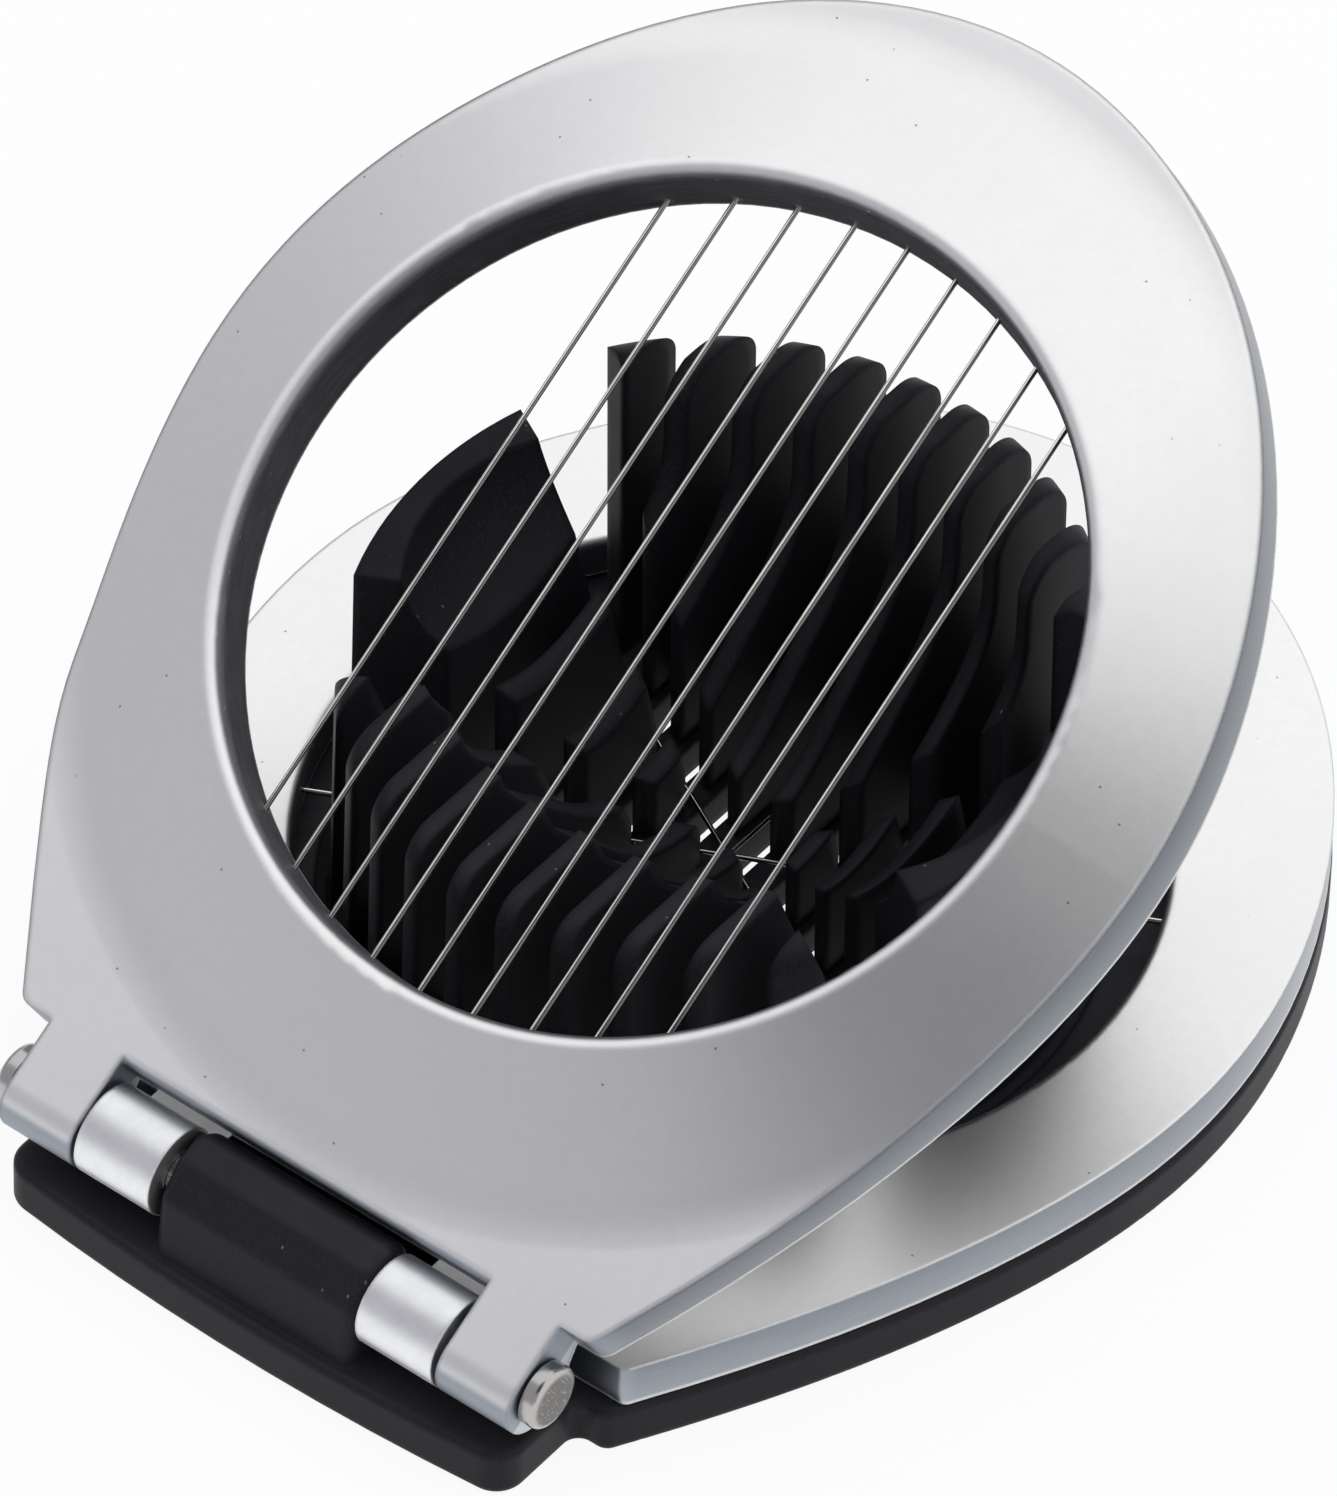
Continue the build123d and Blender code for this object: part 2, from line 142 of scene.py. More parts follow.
@dataclass(frozen=True)
class Pattern:
    """One layer of noise: lumps for each unit of place, finer layers and their weight."""

    scale: float
    detail: float = 2.0
    roughness: float = 0.5


@dataclass(frozen=True)
class Specks:
    """Sparse round marks: cells for each millimetre, edge of a mark, and where marks gather."""

    cells: float
    edge: Band
    patches: Pattern
    gate: Band


@dataclass(frozen=True)
class Tone:
    """A shade of a colour that covers a share of what lies under it, where a value is in a band."""

    band: Band
    shade: float
    share: float = 1.0


class Graph:
    """Node tree of a material or of the world, filled node by node."""

    def __init__(self, tree: bpy.types.NodeTree) -> None:
        """Takes over a tree and empties it."""
        self.tree = tree
        tree.nodes.clear()

    def node(
        self,
        kind: str,
        settings: Optional[dict[str, Any]] = None,
        sockets: Optional[dict[Union[str, int], Any]] = None,
        output: Union[str, int] = 0,
    ) -> Value:
        """Adds one node.

        Args:
            kind: Blender's name of the node type.
            settings: properties, set before the sockets.
            sockets: numbers, colours or links of the inputs, by name or index.
            output: the output that is handed back.

        Returns:
            The chosen output, with no socket where the node has none.
        """
        made = self.tree.nodes.new(kind)
        for key, setting in (settings or {}).items():
            setattr(made, key, setting)
        for key, given in (sockets or {}).items():
            if isinstance(given, Value):
                self.tree.links.new(given.socket, made.inputs[key])
            else:
                made.inputs[key].default_value = given
        return Value(self, made.outputs[output] if len(made.outputs) else None)

    def math(self, operation: str, first: Number, second: Number) -> Value:
        """Adds a Math node on two values."""
        return self.node("ShaderNodeMath", {"operation": operation}, {0: first, 1: second})

    def vector(self, operation: str, sockets: dict[Union[str, int], Any]) -> Value:
        """Adds a Vector Math node."""
        return self.node("ShaderNodeVectorMath", {"operation": operation}, sockets)

    def mix(self, factor: Number, first: Any, second: Any) -> Value:
        """Mixes two colours.

        Args:
            factor: share of the second colour.
            first: colour or link.
            second: colour or link.

        Returns:
            The mixed colour.
        """
        pair = [one if isinstance(one, Value) else (*one, 1.0) for one in (first, second)]
        settings = {"data_type": "RGBA", "blend_type": "MIX", "clamp_factor": True}
        sockets = {0: factor, MIX_FIRST: pair[0], MIX_SECOND: pair[1]}
        return self.node("ShaderNodeMix", settings, sockets, MIX_RESULT)

    def split(self, vector: Value) -> tuple[Value, Value, Value]:
        """Parts of a vector along X, Y and Z."""
        parts = self.node("ShaderNodeSeparateXYZ", None, {0: vector}, "X")
        return parts, parts.sibling("Y"), parts.sibling("Z")

    def join(self, x: Number, y: Number, z: Number) -> Value:
        """Vector from its three parts."""
        return self.node("ShaderNodeCombineXYZ", None, {"X": x, "Y": y, "Z": z})

    def noise(self, vector: Value, pattern: Pattern) -> Value:
        """Smooth noise between 0 and 1.

        Args:
            vector: place at which it is read.
            pattern: its scale and finer layers.

        Returns:
            The noise value.
        """
        sockets = {
            "Vector": vector,
            "Scale": pattern.scale,
            "Detail": pattern.detail,
            "Roughness": pattern.roughness,
        }
        return self.node("ShaderNodeTexNoise", None, sockets)

    def specks(self, point: Value, specks: Specks) -> Value:
        """Sparse round marks.

        Args:
            point: place on the surface, in millimetres.
            specks: their size and spread.

        Returns:
            1 on a mark and 0 elsewhere.
        """
        sockets = {"Vector": point, "Scale": specks.cells, "Randomness": 1.0}
        flat = {"voronoi_dimensions": "2D"}
        cell = self.node("ShaderNodeTexVoronoi", flat, sockets, "Distance")
        return cell.step(*specks.edge) * self.noise(point, specks.patches).step(*specks.gate)

    def soft_edges(self, radius: float) -> Value:
        """Normal that rounds sharp edges to a radius in metres."""
        return self.node("ShaderNodeBevel", {"samples": EDGE_SAMPLES}, {"Radius": radius})

    def bump(
        self, height: Value, strength: float, depth: float, under: Optional[Value] = None
    ) -> Value:
        """Normal bent by a height.

        Args:
            height: height of the relief.
            strength: share of the effect.
            depth: metres for each unit of height.
            under: a normal that is bent further.

        Returns:
            The bent normal.
        """
        sockets = {"Height": height, "Strength": strength, "Distance": depth}
        if under is not None:
            sockets["Normal"] = under
        return self.node("ShaderNodeBump", None, sockets)

    def metal(self, colour: Value, roughness: Value, normal: Value) -> Value:
        """Bare metal.

        Args:
            colour: colour of its reflections.
            roughness: how soft they are.
            normal: direction in which the surface faces.

        Returns:
            The surface shader.
        """
        sockets = {
            "Base Color": colour,
            "Metallic": 1.0,
            "Roughness": roughness,
            "Normal": normal,
        }
        return self.node("ShaderNodeBsdfPrincipled", None, sockets)

    def seen(self) -> Value:
        """1 for the eye and for rays off metal or through glass, 0 for soft light.

        Returns:
            The mask.
        """
        ray = self.node("ShaderNodeLightPath", None, None, "Is Camera Ray")
        mirrored = ray.at_least(ray.sibling("Is Glossy Ray"))
        return mirrored.at_least(ray.sibling("Is Transmission Ray"))


@dataclass(frozen=True)
class HingeSpace:
    """Shader coordinates in millimetres from the hinge axis, with a raised frame laid flat."""

    tilt: float = 0.0

    def point(self, graph: Graph) -> Value:
        """Place on the surface.

        Args:
            graph: graph that gets the nodes.

        Returns:
            Vector from the hinge axis, in millimetres.
        """
        place = graph.node("ShaderNodeTexCoord", None, None, "Object")
        scaled = graph.vector("SCALE", {0: place, "Scale": 1 / MILLIMETRE})
        from_axis = graph.vector("SUBTRACT", {0: scaled, 1: (0.0, HINGE_Y, HINGE_Z)})
        return self.flat(graph, from_axis)

    def normal(self, graph: Graph, soft: Value) -> Value:
        """Direction in which a surface with softened edges faces.

        Args:
            graph: graph that gets the nodes.
            soft: softened normal in the scene's space.

        Returns:
            The same normal in the flat frame's space.
        """
        settings = {"vector_type": "NORMAL", "convert_from": "WORLD", "convert_to": "OBJECT"}
        turned = graph.node("ShaderNodeVectorTransform", settings, {"Vector": soft})
        return self.flat(graph, graph.vector("NORMALIZE", {0: turned}))

    def flat(self, graph: Graph, vector: Value) -> Value:
        """Turns a vector back by the frame's tilt.

        Args:
            graph: graph that gets the node.
            vector: vector in the object's own space.

        Returns:
            The vector with the frame laid flat.
        """
        if self.tilt == 0:
            return vector
        sockets = {"Vector": vector, "Angle": -math.radians(self.tilt)}
        return graph.node("ShaderNodeVectorRotate", {"rotation_type": "X_AXIS"}, sockets)


@dataclass(frozen=True)
class Finish:
    """A procedural finish, which makes one material."""

    name: str

    def material(self) -> bpy.types.Material:
        """Makes the material.

        Returns:
            A new material with this finish.
        """
        made = bpy.data.materials.new(self.name)
        made.use_nodes = True
        graph = Graph(made.node_tree)
        shader = self.shader(graph)
        graph.node("ShaderNodeOutputMaterial", None, {"Surface": shader})
        return made

    def shader(self, graph: Graph) -> Value:
        """Surface shader of the finish."""
        raise NotImplementedError

    def shade(self, colour: Colour, share: float) -> Colour:
        """A colour made darker or lighter by a share."""
        return tuple(min(1.0, share * part) for part in colour)

    def lay(self, graph: Graph, value: Value, tone: Tone, under: Any, colour: Colour) -> Value:
        """Lays a shade of a colour over another colour.

        Args:
            graph: graph that gets the nodes.
            value: value whose band places it.
            tone: its band, shade and share.
            under: colour or link that it covers.
            colour: colour that is shaded.

        Returns:
            The covered colour.
        """
        covered = value.step(*tone.band) * tone.share
        return graph.mix(covered, under, self.shade(colour, tone.shade))


@dataclass(frozen=True)
class CastAluminium(Finish):
    """Die-cast aluminium: blasted satin tops, polished outer walls with painted shade and
    highlights, and a turned hole wall painted dark as shade.

    Wall heights and reaches are in millimetres, with the frame laid flat. A turn is the range of
    facing directions over which one surface gives way to the next, a tone lays a shade of a
    colour, and a swing is how far a noise moves the roughness.
    """

    tilt: float = 0.0
    wall_bottom: float = -0.95
    wall_top: float = 3.6

    satin: Colour = (0.95, 0.948, 0.955)
    knuckle: Colour = (0.925, 0.935, 0.95)
    # Painted shade of the polished outer walls, darker at the top of the wall than at its bottom.
    painted_wall_shade: Colour = (0.15, 0.168, 0.192)
    painted_wall_shade_low: Colour = (0.26, 0.285, 0.315)
    # Painted shade of the hole's wall: dark for the shade and dark reflections it holds.
    painted_bore_shade: Colour = (0.18, 0.175, 0.195)
    under: Colour = (0.97, 0.97, 0.97)
    speck: Colour = (0.36, 0.35, 0.35)

    satin_roughness: float = 0.38
    knuckle_roughness: float = 0.43
    polished_roughness: float = 0.27
    lug_roughness: float = 0.2
    bore_roughness: float = 0.58
    under_roughness: float = 1.0

    edge_radius: float = 0.0005
    edge_turn: Band = (0.8, 0.4)
    hole_turn: Band = (-0.5, -0.85)
    under_turn: Band = (-0.4, -0.7)
    speck_turn: Band = (0.5, 0.8)
    hole_reach: Band = (43.6, 43.0)
    barrel_reach: Band = (5.0, 4.6)
    least_radius: float = 1.0
    knuckles: float = 1.0

    cloud_tone: Tone = Tone((0.3, 0.7), 0.97)
    mottle_tone: Tone = Tone((0.35, 0.7), 0.95, 0.5)
    knuckle_tone: Tone = Tone((0.35, 0.68), 0.95)
    smear_tone: Tone = Tone((0.35, 0.75), 0.7, 0.15)
    # Painted highlight along the lower edge of the outer walls.
    painted_low_edge_highlight: Tone = Tone((0.11, 0.03), 0.85)
    # Painted light on the walls near the hinge lugs; the same reach also makes the walls rougher
    # there.
    lug_reach_and_painted_light: Tone = Tone((9.0, 5.0), 1.9, 0.55)
    bore_shade: float = 0.85
    turned_tone: Tone = Tone((0.3, 0.75), 1.2)
    nick_tone: Tone = Tone((0.7, 0.76), 1.0, 0.5)

    satin_swing: float = 0.1
    cloud_swing: float = 0.05
    smear_swing: float = 0.06
    knuckle_swing: float = 0.08
    turned_swing: float = 0.12

    cloud: Pattern = Pattern(0.055, 3.0)
    mottle: Pattern = Pattern(0.75, 4.0, 0.6)
    grain: Pattern = Pattern(4.5, 3.0, 0.7)
    streak: Pattern = Pattern(1.2, 4.0, 0.6)
    nick: Pattern = Pattern(1.6)
    turned_pitch: Band = (9.0, 1.6)
    smear_pitch: Band = (7.0, 2.6)
    nick_pitch: Band = (22.0, 2.2)
    pricks: Specks = Specks(0.13, (0.019, 0.01), Pattern(0.11), (0.53, 0.58))
    wall_calm: float = 0.7
    mottle_relief: float = 0.6
    smear_relief: float = 0.05
    relief_strength: float = 0.25
    relief_depth: float = 0.00003

    def shader(self, graph: Graph) -> Value:
        """Surface shader of the casting.

        Args:
            graph: graph that gets the nodes.

        Returns:
            The shader.
        """
        space = HingeSpace(self.tilt)
        point = space.point(graph)
        x, y, z = graph.split(point)
        soft = graph.soft_edges(self.edge_radius)
        facing_x, facing_y, facing_z = graph.split(space.normal(graph, soft))
        from_hole = y - HOLE_FROM_HINGE
        radius = (x * x + from_hole * from_hole) ** 0.5
        inward = (facing_x * x + facing_y * from_hole) / radius.at_least(self.least_radius)
        from_axis = (y * y + z * z) ** 0.5

        upright = abs(facing_z).step(*self.edge_turn)
        in_hole = inward.step(*self.hole_turn) * radius.step(*self.hole_reach)
        below = facing_z.step(*self.under_turn)
        barrel = from_axis.step(*self.barrel_reach) * self.knuckles

        around = graph.math("ARCTAN2", from_hole, x)
        cloud = graph.noise(point, self.cloud)
        mottle = graph.noise(point, self.mottle)
        grain = graph.noise(point, self.grain)
        turned = self.along_wall(graph, around, z, self.turned_pitch, self.streak)
        smear = self.along_wall(graph, around, z, self.smear_pitch, self.streak)
        nick = self.along_wall(graph, around, z, self.nick_pitch, self.nick)

        pricks = graph.specks(point, self.pricks) * facing_z.step(*self.speck_turn)
        knuckle = self.lay(graph, mottle, self.knuckle_tone, self.knuckle, self.knuckle)
        colour = self.top_colour(graph, cloud, mottle, pricks)
        # The outer walls get their painted shade and highlights here.
        colour = graph.mix(upright, colour, self.wall_painted_light_and_smears(graph, y, z, smear))
        colour = graph.mix(barrel, colour, knuckle)
        # The hole's wall gets its painted dark shade here.
        colour = graph.mix(in_hole, colour, self.hole_painted_shade_and_nicks(graph, turned, nick))
        colour = graph.mix(below, colour, self.under)

        lug = y.step(*self.lug_reach_and_painted_light.band) * self.lug_roughness
        satin = self.satin_roughness + grain.swing(self.satin_swing) + cloud.swing(self.cloud_swing)
        polish = self.polished_roughness + smear.swing(self.smear_swing) + lug
        blasted = self.knuckle_roughness + grain.swing(self.knuckle_swing)
        bored = self.bore_roughness + turned.swing(self.turned_swing)
        roughness = satin.towards(polish, upright).towards(blasted, barrel)
        roughness = roughness.towards(bored, in_hole).towards(self.under_roughness, below)

        relief = grain * (1 - upright * self.wall_calm) + mottle * self.mottle_relief
        relief = relief + smear * upright * self.smear_relief
        normal = graph.bump(relief, self.relief_strength, self.relief_depth, soft)
        return graph.metal(colour, roughness, normal)

    def along_wall(
        self, graph: Graph, around: Value, z: Value, pitch: Band, pattern: Pattern
    ) -> Value:
        """Noise drawn out along a wall round the hole.

        Args:
            graph: graph that gets the nodes.
            around: angle about the middle of the hole.
            z: height on the wall.
            pitch: lumps for each unit of angle and of height.
            pattern: the noise.

        Returns:
            The noise value.
        """
        return graph.noise(graph.join(around * pitch[0], z * pitch[1], 0.0), pattern)

    def top_colour(self, graph: Graph, cloud: Value, mottle: Value, pricks: Value) -> Value:
        """Colour of the satin tops.

        Args:
            graph: graph that gets the nodes.
            cloud: broad noise.
            mottle: fine noise.
            pricks: mask of the dark specks.

        Returns:
            The colour.
        """
        satin = self.lay(graph, cloud, self.cloud_tone, self.satin, self.satin)
        satin = self.lay(graph, mottle, self.mottle_tone, satin, self.satin)
        return graph.mix(pricks, satin, self.speck)

    def wall_painted_light_and_smears(self, graph: Graph, y: Value, z: Value, smear: Value) -> Value:
        """Colour of the polished outer walls: painted shade darker towards the top, a painted
        highlight along the lower edge, painted light at the lugs and darker smears along the wall.

        Args:
            graph: graph that gets the nodes.
            y: place behind the hinge axis.
            z: height on the wall.
            smear: noise along the wall.

        Returns:
            The colour.
        """
        height = z.step(self.wall_bottom, self.wall_top, Shape.STRAIGHT)
        wall = graph.mix(height, self.painted_wall_shade_low, self.painted_wall_shade)
        wall = self.lay(graph, smear, self.smear_tone, wall, self.painted_wall_shade)
        # Painted highlight: satin colour in a thin band along the wall's lower edge.
        wall = self.lay(graph, height, self.painted_low_edge_highlight, wall, self.satin)
        # Painted light: the walls are made lighter close to the hinge lugs.
        return self.lay(graph, y, self.lug_reach_and_painted_light, wall, self.painted_wall_shade_low)

    def hole_painted_shade_and_nicks(self, graph: Graph, turned: Value, nick: Value) -> Value:
        """Colour of the hole's wall, painted dark as shade and dark reflection, with lighter turned
        streaks and its bright nicks.

        Args:
            graph: graph that gets the nodes.
            turned: noise along the tool marks.
            nick: noise that places the nicks.

        Returns:
            The colour.
        """
        dark = self.shade(self.painted_bore_shade, self.bore_shade)
        painted_bore_shade = self.lay(graph, turned, self.turned_tone, dark, self.painted_bore_shade)
        return self.lay(graph, nick, self.nick_tone, painted_bore_shade, self.satin)


@dataclass(frozen=True)
class BlackMoulding(Finish):
    """Black moulded plastic with a fine eroded texture, a few dust specks and painted light in
    patches on upward-facing tops.
    """

    colour: Colour
    # Lighter colour for the eroded grain and for the painted light on upward-facing tops.
    wear_and_painted_light: Colour = (0.0245, 0.0236, 0.029)
    dust: Colour = (0.18, 0.18, 0.19)
    roughness: float = 0.44
    specular: float = 0.12
    edge_radius: float = 0.0007
    top_turn: Band = (0.55, 0.9)
    dust_turn: Band = (0.2, 0.7)
    painted_top_light_band: Band = (0.1, 0.7)
    eroded_band: Band = (0.44, 0.66)
    eroded_share: float = 0.8
    dust_share: float = 0.7
    cloud_swing: float = 0.14
    grain_swing: float = 0.12
    top_gloss: float = 0.06
    cloud: Pattern = Pattern(0.09, 3.0)
    grain: Pattern = Pattern(3.4, 3.0, 0.7)
    dust_specks: Specks = Specks(0.3, (0.04, 0.025), Pattern(0.13), (0.54, 0.62))
    relief_strength: float = 0.35
    relief_depth: float = 0.00004

    def shader(self, graph: Graph) -> Value:
        """Surface shader of the moulding.

        Args:
            graph: graph that gets the nodes.

        Returns:
            The shader.
        """
        space = HingeSpace()
        point = space.point(graph)
        soft = graph.soft_edges(self.edge_radius)
        facing_z = graph.split(space.normal(graph, soft))[2]
        cloud = graph.noise(point, self.cloud)
        grain = graph.noise(point, self.grain)

        top = facing_z.step(*self.top_turn)
        dusty = graph.specks(point, self.dust_specks) * facing_z.step(*self.dust_turn)
        eroded = grain.step(*self.eroded_band) * self.eroded_share
        # Painted light: upward-facing tops are painted lighter in patches.
        painted_top_light = top * cloud.step(*self.painted_top_light_band)
        colour = graph.mix(eroded.at_least(painted_top_light), self.colour, self.wear_and_painted_light)
        colour = graph.mix(dusty * self.dust_share, colour, self.dust)
        patchy = self.roughness + cloud.swing(self.cloud_swing) + grain.swing(self.grain_swing)
        sockets = {
            "Base Color": colour,
            "Roughness": patchy - top * self.top_gloss,
            "Specular IOR Level": self.specular,
            "Normal": graph.bump(grain, self.relief_strength, self.relief_depth, soft),
        }
        return graph.node("ShaderNodeBsdfPrincipled", None, sockets)


@dataclass(frozen=True)
class DrawnWire(Finish):
    """Drawn steel wire: a painted highlight along its upper left side, painted shade on the rest,
    and fine lines along its length.
    """

    # Colour of the painted highlight on the wire's upper left side.
    colour: Colour = (0.95, 0.93, 0.88)
    painted_wire_shade: Colour = (0.22, 0.214, 0.21)
    roughness: float = 0.16
    tilt: float = 0.0
    highlight_up: float = 0.94
    highlight_left: float = 0.34
    highlight_turn: Band = (0.8, 0.95)
    line: Pattern = Pattern(1.2, 3.0)
    line_pitch: Band = (9.0, 0.1)
    line_swing: float = 0.1
    stain: Pattern = Pattern(0.16, 3.0)
    stain_band: Band = (0.45, 0.8)
    stain_share: float = 0.4
    relief_strength: float = 0.15
    relief_depth: float = 0.00001

    def shader(self, graph: Graph) -> Value:
        """Surface shader of the wire.

        Args:
            graph: graph that gets the nodes.

        Returns:
            The shader.
        """
        space = HingeSpace(self.tilt)
        point = space.point(graph)
        x, y, z = graph.split(point)
        facing = graph.node("ShaderNodeTexCoord", None, None, "Normal")
        facing_x, _, facing_z = graph.split(space.flat(graph, facing))
        across, along = self.line_pitch
        line = graph.noise(graph.join(x * across, y * along, z * across), self.line)
        stain = graph.noise(point, self.stain).step(*self.stain_band)
        # Painted highlight on the side that faces up and left, dimmed where stained; painted shade
        # elsewhere.
        painted_highlight = (facing_z * self.highlight_up - facing_x * self.highlight_left).step(*self.highlight_turn)
        colour = graph.mix(painted_highlight * (1 - stain * self.stain_share), self.painted_wire_shade, self.colour)
        roughness = self.roughness + line.swing(self.line_swing)
        normal = graph.bump(line, self.relief_strength, self.relief_depth)
        return graph.metal(colour, roughness, normal)


@dataclass(frozen=True)
class TurnedPin(Finish):
    """Turned nickel pin whose heads show lathe rings, scores and a painted highlight on the rim."""

    colour: Colour = (0.15, 0.146, 0.142)
    # Colour of the scores and of the painted highlight on the rim.
    wear_and_painted_light: Colour = (0.52, 0.507, 0.495)
    roughness: float = 0.24
    rim_reach: Band = (2.25, 2.85)
    ring: Pattern = Pattern(1.4)
    ring_pitch: float = 6.0
    ring_swing: float = 0.14
    score: Pattern = Pattern(1.3, 4.0, 0.65)
    score_across: Band = (4.0, 2.4)
    score_along: Band = (-0.3, 0.5)
    score_depth: float = 0.2
    score_band: Band = (0.5, 0.72)
    score_share: float = 0.7
    score_swing: float = 0.2
    relief_strength: float = 0.25
    relief_depth: float = 0.00003

    def shader(self, graph: Graph) -> Value:
        """Surface shader of the pin.

        Args:
            graph: graph that gets the nodes.

        Returns:
            The shader.
        """
        x, y, z = graph.split(HingeSpace().point(graph))
        radius = (y * y + z * z) ** 0.5
        ring = graph.noise(graph.join(radius * self.ring_pitch, 0.0, 0.0), self.ring)
        across = y * self.score_across[0] + z * self.score_across[1]
        along = y * self.score_along[0] + z * self.score_along[1]
        score = graph.noise(graph.join(across, along, x * self.score_depth), self.score)
        scored = score.step(*self.score_band) * self.score_share
        # Painted highlight on the rim of each head.
        painted_rim_highlight = radius.step(*self.rim_reach)
        colour = graph.mix(painted_rim_highlight.at_least(scored), self.colour, self.wear_and_painted_light)
        roughness = self.roughness + ring.swing(self.ring_swing) + score.swing(self.score_swing)
        normal = graph.bump(ring, self.relief_strength, self.relief_depth)
        return graph.metal(colour, roughness, normal)


@dataclass(frozen=True)
class StudioSurface(Finish):
    """Floor that is white to the eye and to bright metal, and still takes a shadow."""

    colour: Colour = (0.94, 0.94, 0.94)
    lifted: float = 0.92

    def shader(self, graph: Graph) -> Value:
        """Surface shader of the floor.

        Args:
            graph: graph that gets the nodes.

        Returns:
            The shader.
        """
        plain = graph.node("ShaderNodeBsdfDiffuse", None, {"Color": (*self.colour, 1.0)})
        white = graph.node("ShaderNodeEmission", None, {"Color": WHITE, "Strength": 1.0})
        sockets = {0: graph.seen() * self.lifted, 1: plain, 2: white}
        return graph.node("ShaderNodeMixShader", None, sockets)


@dataclass(frozen=True)
class CardSurface(Finish):
    """Plain studio card, seen only in reflections."""

    grey: float
    tint: Colour = (0.99, 0.98, 1.05)

    def shader(self, graph: Graph) -> Value:
        """Even, slightly cool grey light."""
        colour = self.shade(self.tint, self.grey)
        return graph.node("ShaderNodeEmission", None, {"Color": (*colour, 1.0)})


@dataclass
class SubAssembly:
    """Nodes of one body, each with its finish."""

    body: str
    finishes: dict[str, Finish] = field(default_factory=dict)

    def dress(self) -> list[str]:
        """Gives each node its finish.

        Returns:
            Names of the nodes that were dressed.
        """
        made: dict[Finish, bpy.types.Material] = {}
        for name, finish in self.finishes.items():
            if finish not in made:
                made[finish] = finish.material()
            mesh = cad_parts[name].data
            mesh.materials.clear()
            mesh.materials.append(made[finish])
        return list(self.finishes)


@dataclass
class SlicingFrame(SubAssembly):
    """Raised upper frame with its parallel wires and their sleeves."""

    body: str = "slicing"
    tilt: float = 30.4
    wire_count: int = 9
    # Colour of the painted highlight on the sleeves.
    sleeve: Colour = (0.55, 0.54, 0.53)
    sleeve_roughness: float = 0.32

    def __post_init__(self) -> None:
        """Pairs the nodes with their finishes."""
        self.finishes["slicing_frame"] = CastAluminium(
            "slicing_frame_aluminium",
            tilt=self.tilt,
            knuckles=0.0,
            edge_radius=0.0008,
            edge_turn=(0.93, 0.66),
        )
        wire = DrawnWire("slicing_wire_steel", tilt=self.tilt)
        for number in range(1, self.wire_count + 1):
            self.finishes[f"slicing_wire_{number}"] = wire
        sleeve = DrawnWire(
            "slicing_sleeve_steel", self.sleeve, roughness=self.sleeve_roughness, tilt=self.tilt
        )
        for side in ("hinge", "tip"):
            self.finishes[f"slicing_sleeves_{side}_side"] = sleeve


@dataclass
class WedgeFrame(SubAssembly):
    """Lower frame with its three crossed wires and their sleeves."""

    body: str = "wedge"
    wire_count: int = 3
    # Colour of the painted highlight on the sleeves.
    sleeve: Colour = (0.55, 0.54, 0.53)
    sleeve_roughness: float = 0.32

    def __post_init__(self) -> None:
        """Pairs the nodes with their finishes."""
        self.finishes["wedge_frame"] = CastAluminium(
            "wedge_frame_aluminium",
            wall_bottom=-5.75,
            wall_top=-1.25,
            # Painted shade of the lower frame's outer walls.
            painted_wall_shade=(0.25, 0.275, 0.31),
            painted_wall_shade_low=(0.36, 0.39, 0.425),
            satin_roughness=0.34,
        )
        wire = DrawnWire("wedge_wire_steel")
        for number in range(1, self.wire_count + 1):
            self.finishes[f"wedge_wire_{number}"] = wire
        self.finishes["wedge_sleeves"] = DrawnWire(
            "wedge_sleeve_steel", self.sleeve, roughness=self.sleeve_roughness
        )


@dataclass
class Base(SubAssembly):
    """Foot, ribbed cradle and hinge pin."""

    body: str = "base"
    foot: Colour = (0.0155, 0.0148, 0.0192)
    cradle: Colour = (0.0145, 0.0138, 0.0184)

    def __post_init__(self) -> None:
        """Pairs the nodes with their finishes."""
        self.finishes["base_foot"] = BlackMoulding("foot_moulding", self.foot)
        self.finishes["egg_cradle"] = BlackMoulding(
            "cradle_moulding", self.cradle, roughness=0.48, specular=0.07, edge_radius=0.0013
        )
        self.finishes["hinge_pin"] = TurnedPin("pin_nickel")


@dataclass(frozen=True)
class StandingCard:
    """Upright card between two places on the floor, in metres."""

    start: tuple[float, float]
    end: tuple[float, float]
    bottom: float
    top: float

    def corners(self) -> list[Corner]:
        """The four corners in order."""
        low, high = self.bottom, self.top
        return [(*self.start, low), (*self.end, low), (*self.end, high), (*self.start, high)]


@dataclass(frozen=True)
class FacingCard:
    """Square card that faces the middle of the object, in metres."""

    direction: Corner
    distance: float
    half: float
    aim_height: float = 0.03

    def corners(self) -> list[Corner]:
        """Places the square.

        Returns:
            The four corners in order.
        """
        out = Vector(self.direction).normalized()
        side = Vector((0, 0, 1)).cross(out).normalized()
        rise = out.cross(side)
        middle = out * self.distance + Vector((0, 0, self.aim_height))
        signs = ((-1, -1), (1, -1), (1, 1), (-1, 1))
        return [
            tuple(middle + side * (self.half * across) + rise * (self.half * up))
            for across, up in signs
        ]


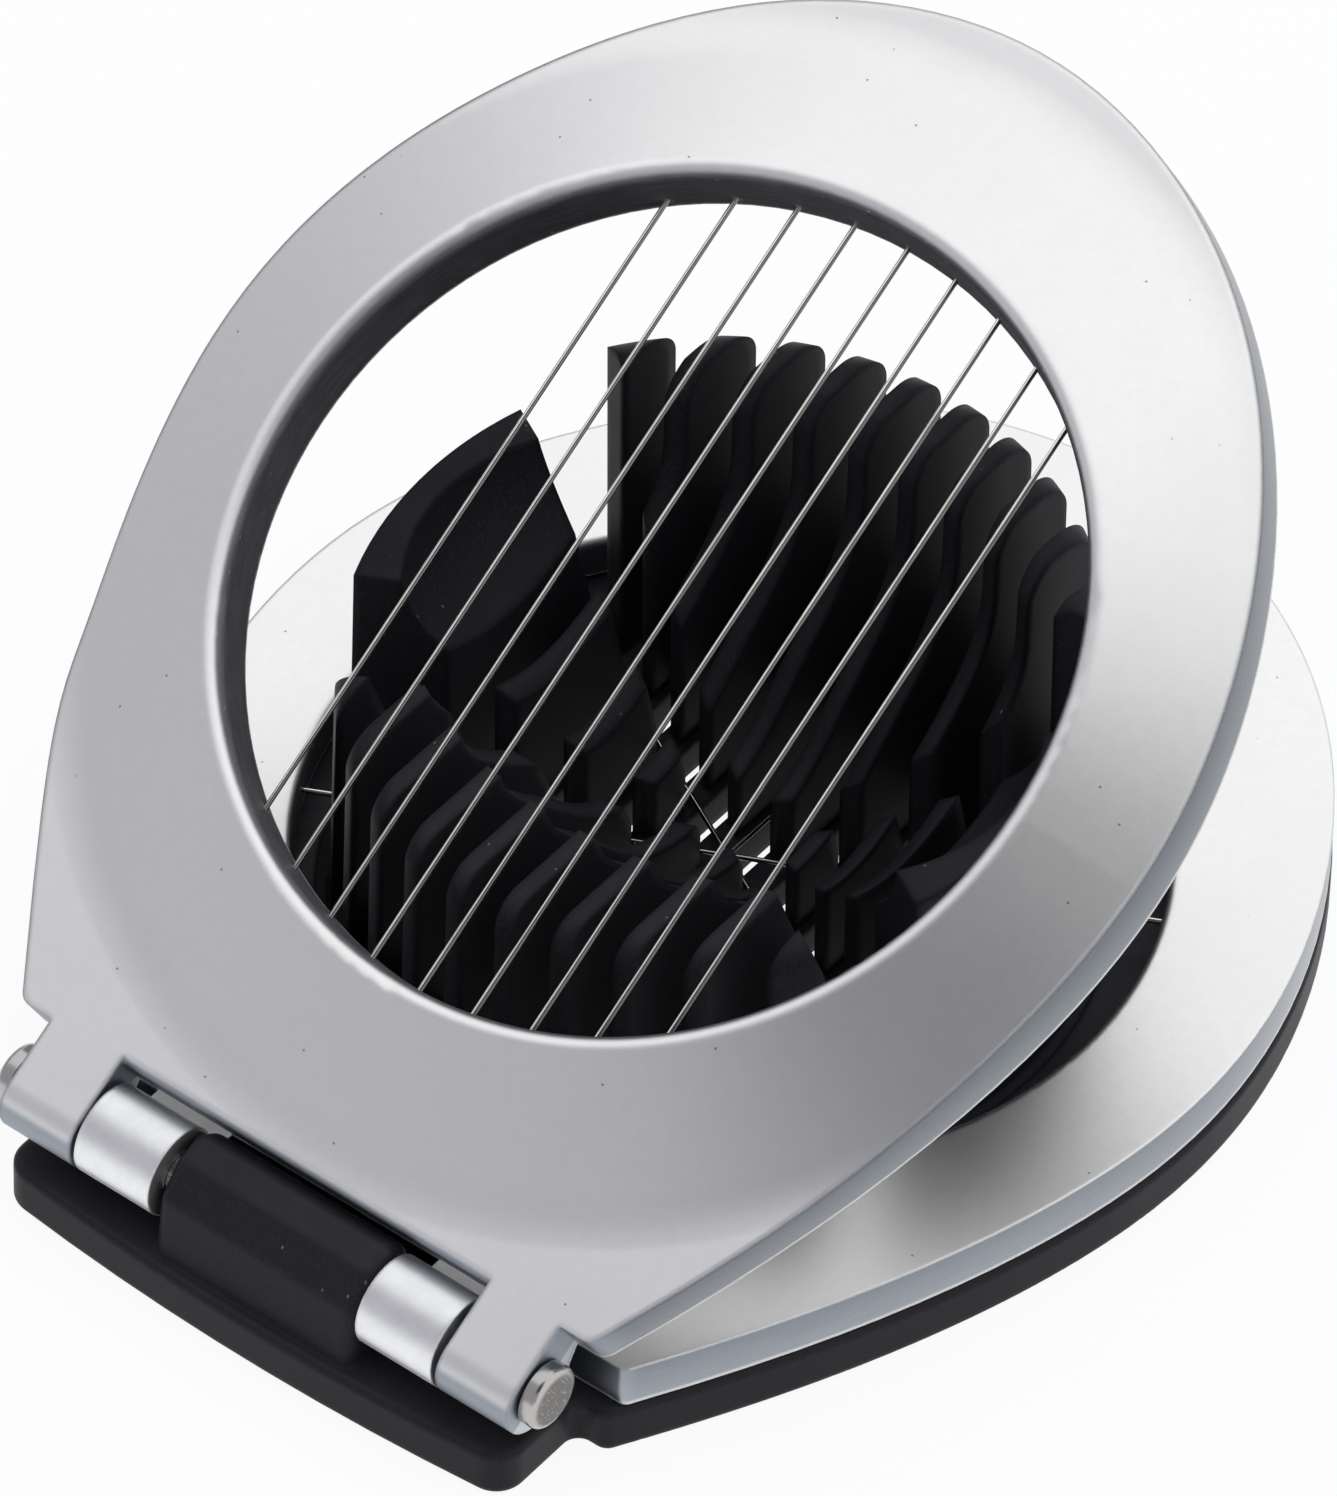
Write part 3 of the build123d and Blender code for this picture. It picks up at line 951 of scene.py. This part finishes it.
@dataclass
class Studio:
    """Pale floor, soft light from above and cards that shape the reflections."""

    floor_half: float = 2.5
    world_strength: float = 0.55
    front: StandingCard = StandingCard((-0.9, -0.45), (0.6, -0.45), 0.02, 1.1)
    front_grey: float = 0.46
    left: StandingCard = StandingCard((-0.9, -0.9), (-0.9, 0.9), 0.02, 0.72)
    left_grey: float = 0.42
    camera: FacingCard = FacingCard((0.33, -0.52, 0.79), 0.42, 0.15)
    camera_grey: float = 0.06
    lamp_place: Corner = (0.15, 0.35, 1.7)
    lamp_width: float = 2.4
    lamp_power: float = 19.0

    def build(self) -> list[str]:
        """Makes the floor, the cards, the lamp and the world.

        Returns:
            Names of what was made.
        """
        half = self.floor_half
        corners = [(-half, -half, 0), (half, -half, 0), (half, half, 0), (-half, half, 0)]
        self.sheet("studio_floor", corners, StudioSurface("floor_paper"))
        self.card("front_card", self.front.corners(), self.front_grey)
        self.card("left_card", self.left.corners(), self.left_grey)
        self.card("camera_card", self.camera.corners(), self.camera_grey)
        self.lamp("sky_lamp")
        self.world()
        return ["studio_floor", "front_card", "left_card", "camera_card", "sky_lamp"]

    def sheet(self, name: str, corners: list[Corner], finish: Finish) -> bpy.types.Object:
        """Makes a flat stage piece.

        Args:
            name: name of the piece.
            corners: its corners in order.
            finish: its finish.

        Returns:
            The new piece.
        """
        mesh = bpy.data.meshes.new(name)
        mesh.from_pydata(corners, [], [tuple(range(len(corners)))])
        mesh.materials.append(finish.material())
        piece = bpy.data.objects.new(name, mesh)
        bpy.context.scene.collection.objects.link(piece)
        return piece

    def card(self, name: str, corners: list[Corner], grey: float) -> None:
        """Makes a card that only reflections see.

        Args:
            name: name of the card.
            corners: its corners in order.
            grey: its brightness.
        """
        piece = self.sheet(name, corners, CardSurface(f"{name}_grey", grey))
        piece.visible_camera = False
        piece.visible_diffuse = False
        piece.visible_shadow = False

    def lamp(self, name: str) -> None:
        """Makes the square soft lamp, which faces the middle of the floor.

        Args:
            name: name of the lamp.
        """
        data = bpy.data.lights.new(name, "AREA")
        data.shape = "SQUARE"
        data.size = self.lamp_width
        data.energy = self.lamp_power
        lamp = bpy.data.objects.new(name, data)
        lamp.location = self.lamp_place
        lamp.rotation_euler = (-Vector(self.lamp_place)).to_track_quat("-Z", "Y").to_euler()
        lamp.visible_camera = False
        lamp.visible_glossy = False
        bpy.context.scene.collection.objects.link(lamp)

    def world(self) -> None:
        """Makes the surroundings: white to the eye and to bright metal, softer as light."""
        made = bpy.data.worlds.new("studio_air")
        made.use_nodes = True
        graph = Graph(made.node_tree)
        soft, white = (
            graph.node("ShaderNodeBackground", None, {"Color": WHITE, "Strength": strength})
            for strength in (self.world_strength, 1.0)
        )
        shader = graph.node("ShaderNodeMixShader", None, {0: graph.seen(), 1: soft, 2: white})
        graph.node("ShaderNodeOutputWorld", None, {"Surface": shader})
        bpy.context.scene.world = made


@dataclass
class Viewpoint:
    """Camera of the photograph, placed from the hinge axis, in millimetres and degrees."""

    azimuth: float = 37.353
    elevation: float = 46.005
    roll: float = 1.576
    offset_right: float = 32.226
    offset_up: float = 41.118
    distance: float = 1470.6
    focal_pixels: float = 16743.0
    shift_x: float = 0.01283
    shift_y: float = 0.01237
    sensor: float = 36.0

    def build(self) -> bpy.types.Object:
        """Makes the camera.

        Returns:
            The camera, which is also the scene's own.
        """
        around, above, turn = (math.radians(a) for a in (self.azimuth, self.elevation, self.roll))
        level = math.cos(above)
        right = Vector((math.cos(around), math.sin(around), 0))
        back = Vector((math.sin(around) * level, -math.cos(around) * level, math.sin(above)))
        up = back.cross(right)
        across = right * math.cos(turn) + up * math.sin(turn)
        upward = up * math.cos(turn) - right * math.sin(turn)
        place = across * self.offset_right + upward * self.offset_up + back * self.distance
        place = (place + Vector((0, HINGE_Y, HINGE_Z))) * MILLIMETRE

        data = bpy.data.cameras.new("photo_camera")
        data.sensor_fit = "VERTICAL"
        data.sensor_height = self.sensor
        data.lens = self.focal_pixels * self.sensor / IMAGE_HEIGHT
        data.shift_x = self.shift_x
        data.shift_y = self.shift_y
        camera = bpy.data.objects.new("photo_camera", data)
        axes = Matrix((across, upward, back)).transposed().to_4x4()
        camera.matrix_world = Matrix.Translation(place) @ axes
        bpy.context.scene.collection.objects.link(camera)
        bpy.context.scene.camera = camera
        return camera


def main() -> None:
    """Sets the scene and dresses the object."""
    logging.basicConfig(level=logging.INFO)
    bpy.context.scene.view_settings.view_transform = "Standard"
    LOG.info("camera %s", Viewpoint().build().name)
    for name in Studio().build():
        LOG.info("studio %s", name)
    for assembly in (Base(), WedgeFrame(), SlicingFrame()):
        for name in assembly.dress():
            LOG.info("%s carries %s", assembly.body, name)


if __name__ == "__main__":
    main()
